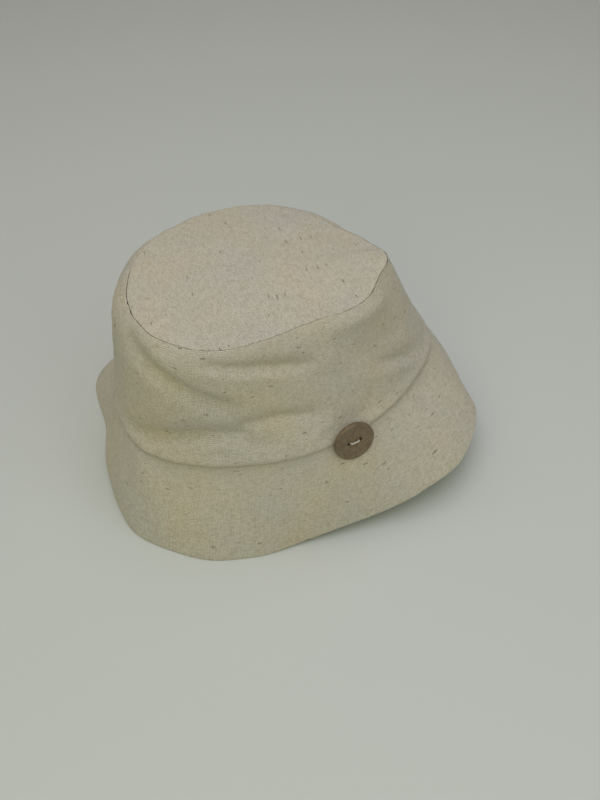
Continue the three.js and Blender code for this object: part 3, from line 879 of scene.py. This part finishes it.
def make_button():
    """A thick disc with a slightly sunk face, rounded edges and two holes."""
    pick_nothing()
    radius = BUTTON_DIAMETER / 2
    middle = (0, 0, BUTTON_THICKNESS / 2)
    bpy.ops.mesh.primitive_cylinder_add(
        vertices=BUTTON_SIDES, radius=radius, depth=BUTTON_THICKNESS, location=middle
    )
    piece = bpy.context.object
    piece.name = "coconut_button"
    bpy.ops.object.transform_apply(location=True)
    for face in piece.data.polygons:
        face.select = face.normal.z > 0.9
    for part in (piece.data.vertices, piece.data.edges):
        for one in part:
            one.select = False
    bpy.ops.object.mode_set(mode="EDIT")
    bpy.ops.mesh.select_mode(type="FACE")
    bpy.ops.mesh.inset(thickness=BUTTON_RIM_WIDTH)
    bpy.ops.mesh.inset(thickness=BUTTON_DISH)
    bpy.ops.transform.translate(value=(0, 0, -BUTTON_DISH))
    bpy.ops.mesh.select_all(action="DESELECT")
    bpy.ops.object.mode_set(mode="OBJECT")
    inner = radius - BUTTON_RIM_WIDTH
    face_height = BUTTON_THICKNESS - BUTTON_DISH
    bevel_rings(piece, [(radius, 0, 0), (radius, BUTTON_THICKNESS, 0)], EDGE_ROUND, 4)
    bevel_rings(piece, [(inner, BUTTON_THICKNESS, 0)], DISH_ROUND, 3)
    for side in (-1, 1):
        pick_nothing()
        spot = (side * HOLE_SPACING / 2, 0, 0)
        bpy.ops.mesh.primitive_cylinder_add(
            vertices=HOLE_SIDES, radius=HOLE_DIAMETER / 2, depth=4 * BUTTON_THICKNESS, location=spot
        )
        cutter = bpy.context.object
        pick_nothing()
        bpy.context.view_layer.objects.active = piece
        piece.select_set(True)
        hole = piece.modifiers.new("hole", "BOOLEAN")
        hole.object = cutter
        hole.solver = "EXACT"
        bpy.ops.object.modifier_apply(modifier=hole.name)
        bpy.data.objects.remove(cutter)
    holes = [(HOLE_DIAMETER / 2, face_height, side * HOLE_SPACING / 2) for side in (-1, 1)]
    bevel_rings(piece, holes, HOLE_ROUND, 3)
    bpy.ops.object.shade_smooth_by_angle(angle=math.radians(40))
    piece.data.transform(button_place())
    return piece


def make_thread():
    """Three strands twisted together, up through one hole, across the face and down through the other."""
    side = HOLE_SPACING / 2 - THREAD_INSET
    crossing = BUTTON_THICKNESS - BUTTON_DISH + CLEARANCE + THREAD_DIAMETER / 2
    turns = np.linspace(0, math.pi / 2, 7)
    inwards = THREAD_BEND * (1 - np.cos(turns))
    left = np.stack([-side + inwards, crossing - THREAD_BEND * (1 - np.sin(turns))], axis=1)
    ends = [(-side, THREAD_END_HEIGHT)], [(side, THREAD_END_HEIGHT)]
    path = np.concatenate([ends[0], left, (left * (-1, 1))[::-1], ends[1]])
    lengths = np.concatenate([[0], np.cumsum(np.hypot(*np.diff(path, axis=0).T))])
    way = np.linspace(0, lengths[-1], THREAD_STEPS)
    across, upwards = np.interp(way, lengths, path[:, 0]), np.interp(way, lengths, path[:, 1])
    spine = np.stack([across, np.zeros(THREAD_STEPS), upwards], axis=1)
    forward = unit(np.gradient(spine, axis=0))
    aside = np.array([0, 1.0, 0])
    upward = np.cross(forward, aside)
    strand = THREAD_DIAMETER / STRAND_RADII_ACROSS
    strands = []
    for number in range(STRANDS):
        if number == 0:
            pick_nothing()
            bpy.ops.mesh.primitive_circle_add(vertices=STRAND_SIDES, radius=1, fill_type="NOTHING")
            piece = bpy.context.object
            piece.name = "button_thread_strand"
            bpy.ops.object.mode_set(mode="EDIT")
            bpy.ops.mesh.select_all(action="SELECT")
            for _ in range(THREAD_STEPS - 1):
                bpy.ops.mesh.extrude_region_move(TRANSFORM_OT_translate={"value": (0, 0, -1)})
            bpy.ops.mesh.select_all(action="DESELECT")
            bpy.ops.object.mode_set(mode="OBJECT")
            blank = places_of(piece)
        else:
            pick_nothing()
            strands[0].select_set(True)
            bpy.context.view_layer.objects.active = strands[0]
            bpy.ops.object.duplicate()
            piece = bpy.context.object
        step = np.rint(-blank[:, 2]).astype(int)
        angle = np.arctan2(blank[:, 1], blank[:, 0])
        twist = 2 * math.pi * (way / THREAD_TWIST + number / STRANDS)
        round_spine = aside * np.cos(twist)[:, None] + upward * np.sin(twist)[:, None]
        middle = spine + round_spine * strand * STRAND_SPREAD
        ring = aside * np.cos(angle)[:, None] + upward[step] * np.sin(angle)[:, None]
        put_points(piece, middle[step] + ring * strand)
        strands.append(piece)
    pick_nothing()
    for piece in strands:
        piece.select_set(True)
    bpy.context.view_layer.objects.active = strands[0]
    bpy.ops.object.join()
    piece = strands[0]
    bpy.ops.object.mode_set(mode="EDIT")
    bpy.ops.mesh.select_all(action="SELECT")
    bpy.ops.mesh.fill_holes(sides=0)
    bpy.ops.mesh.select_all(action="SELECT")
    bpy.ops.mesh.normals_make_consistent(inside=False)
    bpy.ops.object.mode_set(mode="OBJECT")
    bpy.ops.object.shade_smooth()
    piece.data.transform(button_place())
    return piece


button = make_button()
thread = make_thread()
for piece, cad, slot, material in (
    (wall, "crown_wall", "wall_linen", linen("wall linen", 0.8, WALL_GIRTH)),
    (tip, "crown_tip", "tip_linen", linen("tip linen", 0.7)),
    (brim, "brim", "brim_linen", linen("brim linen", 0.55, BRIM_GIRTH, stitched=True)),
    (button, "button", "coconut", coconut()),
    (thread, "button_thread", "thread", sewing_thread()),
):
    piece.data.materials.append(material)
    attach(piece, "root")
    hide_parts(cad)

# The floor, the light and the camera
FLOOR_SIZE = 8
WORLD_COLOUR = (0.97, 1, 0.71, 1)
WORLD_STRENGTH = 0.21
HAT_MIDDLE = (0, 0, 0.05)
# name, place, size, power, colour
SOFT_LIGHTS = (
    ("overhead", (0, 0, 1.4), 1.2, 8.4, (0.8, 0.78, 1)),
    ("right", (0.65, 0.3, 0.75), 0.8, 1.5, (0.84, 0.9, 1)),
    ("front", (0.55, -0.5, 0.75), 0.8, 2.16, (0.93, 1, 0.74)),
)
CAMERA_AZIMUTH = 66
CAMERA_ELEVATION = 48.5
CAMERA_PLACE = (0.32153, -0.12828, 0.40452)
SENSOR_WIDTH = 36
LENS = 36

pick_nothing()
bpy.ops.mesh.primitive_plane_add(size=FLOOR_SIZE)
floor = bpy.context.object
floor.name = "floor"
floor.data.materials.append(plain_floor())

world = bpy.data.worlds.new("studio")
bpy.context.scene.world = world
world.use_nodes = True
world.node_tree.nodes["Background"].inputs["Color"].default_value = WORLD_COLOUR
world.node_tree.nodes["Background"].inputs["Strength"].default_value = WORLD_STRENGTH


def soft_light(name, place, size, power, colour):
    """A square lamp that faces the hat."""
    data = bpy.data.lights.new(name, "AREA")
    data.shape = "SQUARE"
    data.size = size
    data.energy = power
    data.color = colour
    lamp = bpy.data.objects.new(name, data)
    bpy.context.scene.collection.objects.link(lamp)
    lamp.location = place
    lamp.rotation_mode = "QUATERNION"
    lamp.rotation_quaternion = (Vector(HAT_MIDDLE) - Vector(place)).to_track_quat("-Z", "Y")


for light in SOFT_LIGHTS:
    soft_light(*light)

camera_data = bpy.data.cameras.new("camera")
camera_data.sensor_width = SENSOR_WIDTH
camera_data.lens = LENS
camera = bpy.data.objects.new("camera", camera_data)
bpy.context.scene.collection.objects.link(camera)
turn = math.radians(CAMERA_AZIMUTH)
rise = math.radians(CAMERA_ELEVATION)
back = Vector((math.sin(turn) * math.cos(rise), -math.cos(turn) * math.cos(rise), math.sin(rise)))
camera.location = CAMERA_PLACE
camera.rotation_mode = "QUATERNION"
camera.rotation_quaternion = (-back).to_track_quat("-Z", "Y")
bpy.context.scene.camera = camera
bpy.context.scene.view_settings.view_transform = "Standard"
